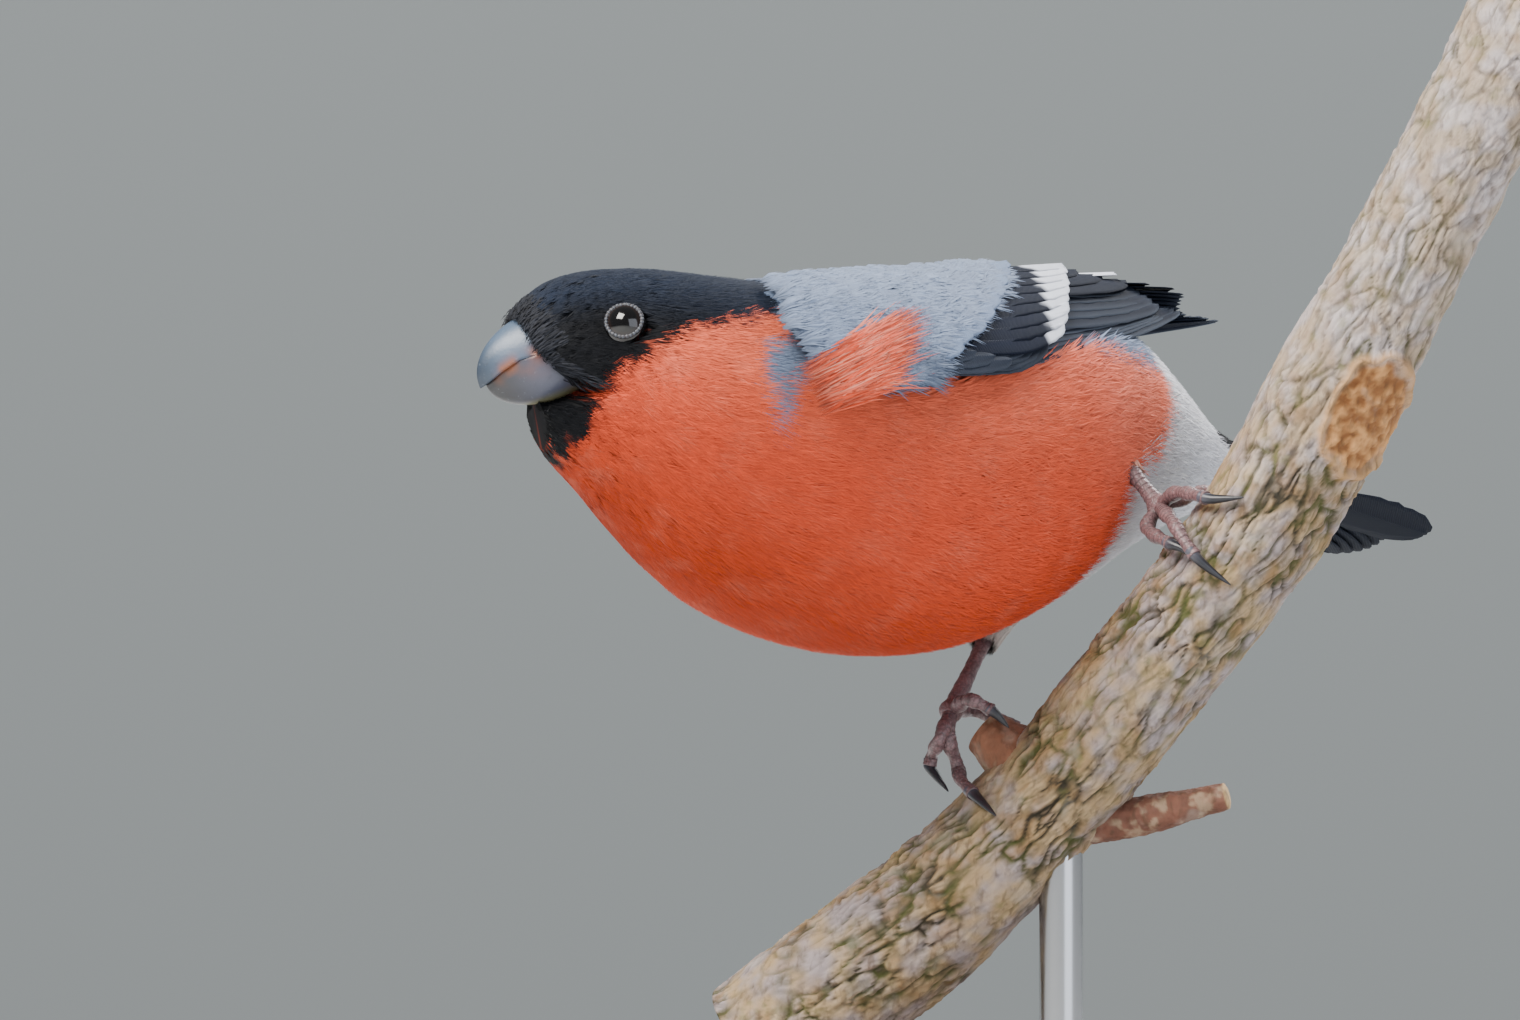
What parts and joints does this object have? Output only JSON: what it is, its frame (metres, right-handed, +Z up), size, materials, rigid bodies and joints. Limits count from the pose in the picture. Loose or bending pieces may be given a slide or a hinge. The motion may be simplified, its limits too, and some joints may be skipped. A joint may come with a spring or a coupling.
{
  "type": "perched bullfinch model",
  "caption": "Still life-size model of a male bullfinch leaning forward on a steep cut branch, held by a rod on a flat display base.",
  "frame": {"origin": "centre of the base's underside", "axes": "+Z up from the floor, -Y towards the viewer, -X the way the bird's bill points in the side view"},
  "size_m": [0.1352, 0.1052, 0.1608],
  "materials": {
    "breast_feathers": "matte",
    "mantle_feathers": "matte",
    "black_feathers": "satin",
    "white_feathers": "matte",
    "flight_feathers": "satin",
    "bill": "satin",
    "eye": "gloss",
    "leg_skin": "satin",
    "claw": "satin",
    "bark": "rough",
    "base_wood": "satin",
    "steel": "satin"
  },
  "bodies": {
    "root": {"head": "black_feathers", "neck": "mantle_feathers", "torso": "breast_feathers", "rump": "white_feathers", "bill_upper": "bill", "bill_lower": "bill", "eye_left": "eye", "eye_right": "eye", "wing_left": "flight_feathers", "wing_right": "flight_feathers", "tail": "flight_feathers", "thigh_left": "mantle_feathers", "thigh_right": "mantle_feathers", "perch": "bark", "stand_base": "base_wood", "stand_rod": "steel", "stand_collar": "steel", "foot_left": "leg_skin", "leg_left": "leg_skin", "claw_left_inner": "claw", "claw_left_middle": "claw", "claw_left_outer": "claw", "claw_left_hind": "claw", "foot_right": "leg_skin", "leg_right": "leg_skin", "claw_right_inner": "claw", "claw_right_middle": "claw", "claw_right_outer": "claw", "claw_right_hind": "claw"}
  },
  "joints": []
}
